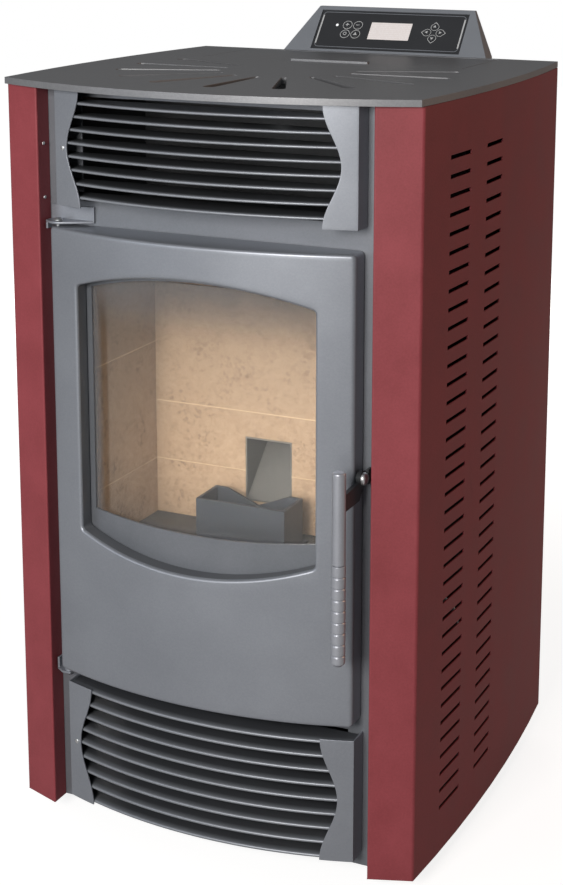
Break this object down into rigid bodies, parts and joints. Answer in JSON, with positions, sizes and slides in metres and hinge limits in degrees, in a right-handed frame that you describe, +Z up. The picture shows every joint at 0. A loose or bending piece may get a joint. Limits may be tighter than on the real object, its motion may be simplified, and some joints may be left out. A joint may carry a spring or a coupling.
{
  "type": "pellet stove",
  "caption": "Free-standing wood pellet stove with a bowed glazed door, upper and lower air grilles, red side panels, a top hopper lid and a sloping control console.",
  "frame": {"origin": "centre of the bounding box on the floor", "axes": "+X to the right seen from the front, +Y to the rear, +Z up"},
  "size_m": [0.57, 0.6406, 1.0213],
  "materials": {
    "red_paint": "fine textured satin powder coat, dark red",
    "grey_paint": "high-temperature metallic grey stove paint, satin",
    "dark_paint": "dark grey stove paint, matt",
    "plate_paint": "dark grey high-temperature paint on thick plate, satin",
    "vermiculite": "pressed vermiculite board, matt, flecked",
    "cast_iron": "sand-cast iron and heat-scaled steel, matt",
    "zinc": "zinc-plated sheet steel",
    "glass": "clear ceramic glass",
    "rope": "braided glass-fibre rope seal",
    "black_plastic": "moulded dark plastic",
    "grey_plastic": "moulded grey plastic, satin",
    "display": "unlit liquid-crystal display behind a clear window",
    "rubber": "moulded rubber"
  },
  "bodies": {
    "stove": {"top_plate": "plate_paint", "left_side_panel": "red_paint", "right_side_panel": "red_paint", "face_frame": "grey_paint", "upper_grille": "grey_paint", "lower_grille": "grey_paint", "base_plate": "dark_paint", "rear_panel": "dark_paint", "front_left_foot": "rubber", "front_right_foot": "rubber", "rear_left_foot": "rubber", "rear_right_foot": "rubber", "upper_hinge_bracket": "grey_paint", "lower_hinge_bracket": "grey_paint", "upper_hinge_pin": "zinc", "lower_hinge_pin": "zinc", "latch_keeper": "dark_paint", "firebox_body": "cast_iron", "brick_left": "vermiculite", "brick_right": "vermiculite", "brick_back": "vermiculite", "baffle": "vermiculite", "warm_air_duct": "dark_paint", "ash_pan": "dark_paint", "igniter": "zinc", "feed_chute": "zinc", "hopper": "zinc", "auger_tube": "zinc", "auger_gearmotor": "black_plastic", "exhaust_fan_housing": "zinc", "flue_outlet": "zinc", "air_intake_pipe": "zinc", "room_fan_housing": "zinc", "power_inlet": "black_plastic", "console_housing": "grey_plastic", "console_face": "black_plastic", "lcd_window": "display"},
    "door": {"door_skin": "grey_paint", "door_inner_frame": "grey_paint", "door_glass": "glass", "door_liner": "dark_paint", "door_gasket": "rope", "handle_bolt": "zinc"},
    "handle": {"handle_lever": "dark_paint", "handle_rod": "grey_paint", "handle_grip": "grey_paint"},
    "hopper_lid": {"hopper_lid": "plate_paint"},
    "burn_pot": {"burn_pot": "cast_iron"},
    "auger": {"auger_screw": "zinc"},
    "exhaust_rotor": {"exhaust_fan_rotor": "zinc"},
    "room_rotor": {"room_fan_rotor": "black_plastic"},
    "rocker": {"power_switch": "black_plastic"},
    "round_button_1": {"round_button_1": "black_plastic"},
    "round_button_2": {"round_button_2": "black_plastic"},
    "round_button_3": {"round_button_3": "black_plastic"},
    "round_button_4": {"round_button_4": "black_plastic"},
    "arrow_key_right": {"arrow_key_right": "black_plastic"},
    "arrow_key_up": {"arrow_key_up": "black_plastic"},
    "arrow_key_left": {"arrow_key_left": "black_plastic"},
    "arrow_key_down": {"arrow_key_down": "black_plastic"}
  },
  "joints": [
    {"name": "door_swing", "type": "hinge", "parent": "stove", "child": "door", "pos_m": [-0.198, -0.25875, 0.497], "axis": [0, 0, -1], "range_deg": [0, 105]},
    {"name": "handle_turn", "type": "hinge", "parent": "door", "child": "handle", "pos_m": [0.2035, -0.25975, 0.519], "axis": [-1, 0, 0], "range_deg": [0, 35]},
    {"name": "hopper_lid_open", "type": "hinge", "parent": "stove", "child": "hopper_lid", "pos_m": [0, 0.24625, 0.956], "axis": [-1, 0, 0], "range_deg": [0, 85]},
    {"name": "burn_pot_lift", "type": "slide", "parent": "stove", "child": "burn_pot", "axis": [0, 0, 1], "range_m": [0, 0.06]},
    {"name": "auger_spin", "type": "hinge", "parent": "stove", "child": "auger", "pos_m": [0, 0.15825, 0.4], "axis": [0, -0.679, 0.7341], "continuous": true},
    {"name": "exhaust_fan_spin", "type": "hinge", "parent": "stove", "child": "exhaust_rotor", "pos_m": [0.105, -0.01175, 0.3], "axis": [0, 1, 0], "continuous": true},
    {"name": "room_fan_spin", "type": "hinge", "parent": "stove", "child": "room_rotor", "pos_m": [-0.08, 0.08825, 0.0683], "axis": [1, 0, 0], "continuous": true},
    {"name": "power_switch_rock", "type": "hinge", "parent": "stove", "child": "rocker", "pos_m": [-0.215, 0.25555, 0.107], "axis": [1, 0, 0], "range_deg": [-14, 0]},
    {"name": "round_button_1_press", "type": "slide", "parent": "stove", "child": "round_button_1", "axis": [0, 0.766, -0.6428], "range_m": [0, 0.0008], "stiffness_N_per_m": 400},
    {"name": "round_button_2_press", "type": "slide", "parent": "stove", "child": "round_button_2", "axis": [0, 0.766, -0.6428], "range_m": [0, 0.0008], "stiffness_N_per_m": 400},
    {"name": "round_button_3_press", "type": "slide", "parent": "stove", "child": "round_button_3", "axis": [0, 0.766, -0.6428], "range_m": [0, 0.0008], "stiffness_N_per_m": 400},
    {"name": "round_button_4_press", "type": "slide", "parent": "stove", "child": "round_button_4", "axis": [0, 0.766, -0.6428], "range_m": [0, 0.0008], "stiffness_N_per_m": 400},
    {"name": "arrow_key_right_press", "type": "slide", "parent": "stove", "child": "arrow_key_right", "axis": [0, 0.766, -0.6428], "range_m": [0, 0.0008], "stiffness_N_per_m": 400},
    {"name": "arrow_key_up_press", "type": "slide", "parent": "stove", "child": "arrow_key_up", "axis": [0, 0.766, -0.6428], "range_m": [0, 0.0008], "stiffness_N_per_m": 400},
    {"name": "arrow_key_left_press", "type": "slide", "parent": "stove", "child": "arrow_key_left", "axis": [0, 0.766, -0.6428], "range_m": [0, 0.0008], "stiffness_N_per_m": 400},
    {"name": "arrow_key_down_press", "type": "slide", "parent": "stove", "child": "arrow_key_down", "axis": [0, 0.766, -0.6428], "range_m": [0, 0.0008], "stiffness_N_per_m": 400}
  ]
}
